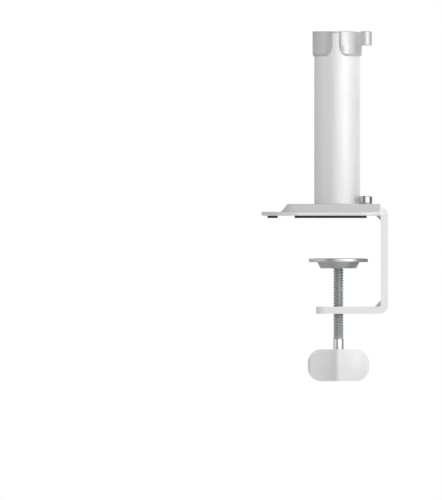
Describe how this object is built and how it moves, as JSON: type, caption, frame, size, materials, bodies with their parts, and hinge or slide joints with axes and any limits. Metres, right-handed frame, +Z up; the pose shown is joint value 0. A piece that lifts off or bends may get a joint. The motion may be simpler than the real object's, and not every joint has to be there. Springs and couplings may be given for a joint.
{
  "type": "monitor arm desk clamp and post",
  "caption": "Desk-edge clamp with padded base, round post and swivelling hub that carries a monitor arm; a hand screw with a tilting foot grips the desk.",
  "frame": {"origin": "where the post's axis meets the desk top, in the plane of the pads' undersides", "axes": "+Z up along the post; +X from the nose of the base to the clamp's column at the desk's edge; +Y completes a right-handed frame along the desk's edge"},
  "size_m": [0.0961, 0.08, 0.2659],
  "materials": {
    "silver_paint": "fine silver powder coat, semi-matt",
    "bracket_paint": "pale grey powder coat",
    "satin_aluminium": "satin anodised tube",
    "hub_aluminium": "satin die casting, slightly glossier than the post",
    "zinc_steel": "bright zinc plating",
    "bright_steel": "turned steel",
    "chrome_plate": "polished",
    "black_rubber": "matt",
    "dark_plastic": "fine moulded grain",
    "pale_nylon": "plain",
    "handle_finish": "pale grey, semi-gloss"
  },
  "bodies": {
    "base": {"base_shell": "silver_paint", "desk_pad_main": "black_rubber", "desk_pad_nose": "black_rubber", "clamp_bracket": "bracket_paint", "bracket_screw_front": "chrome_plate", "bracket_screw_rear": "chrome_plate", "post_tube": "satin_aluminium", "post_foot_plug": "zinc_steel", "post_bolt": "zinc_steel", "post_top_plug": "zinc_steel", "hub_liner": "pale_nylon", "hub_bolt": "zinc_steel", "hub_bolt_washer": "bright_steel"},
    "hub": {"hub_collar": "hub_aluminium", "hub_cap": "dark_plastic", "arm_fixing_screw": "bright_steel"},
    "screw_carrier": {"thrust_washer": "bright_steel"},
    "clamp_screw": {"spindle": "zinc_steel", "retaining_clip": "zinc_steel", "handle": "handle_finish", "handle_screw": "zinc_steel"},
    "foot_socket": {"socket_liner": "pale_nylon"},
    "foot": {"foot_plate": "bright_steel", "foot_pad": "black_rubber", "foot_cup": "zinc_steel"}
  },
  "joints": [
    {"name": "hub_swivel", "type": "hinge", "parent": "base", "child": "hub", "pos_m": [0, 0, 0.13], "axis": [0, 0, 1], "continuous": true},
    {"name": "clamp_travel", "type": "slide", "parent": "base", "child": "screw_carrier", "axis": [0, 0, 1], "range_m": [-0.0275, 0.0195]},
    {"name": "screw_turn", "type": "hinge", "parent": "screw_carrier", "child": "clamp_screw", "pos_m": [0.0009, 0, -0.08], "axis": [0, 0, 1], "range_deg": [-4950, 3510]},
    {"name": "foot_tilt_side", "type": "hinge", "parent": "screw_carrier", "child": "foot_socket", "pos_m": [0.0009, 0, -0.0352], "axis": [0, 1, 0], "range_deg": [-3, 3]},
    {"name": "foot_tilt_front", "type": "hinge", "parent": "foot_socket", "child": "foot", "pos_m": [0.0009, 0, -0.0352], "axis": [1, 0, 0], "range_deg": [-3, 3]}
  ],
  "couplings": [
    {"joint": "clamp_travel", "follows": "screw_turn", "m_per_rad": 0.00031831}
  ]
}
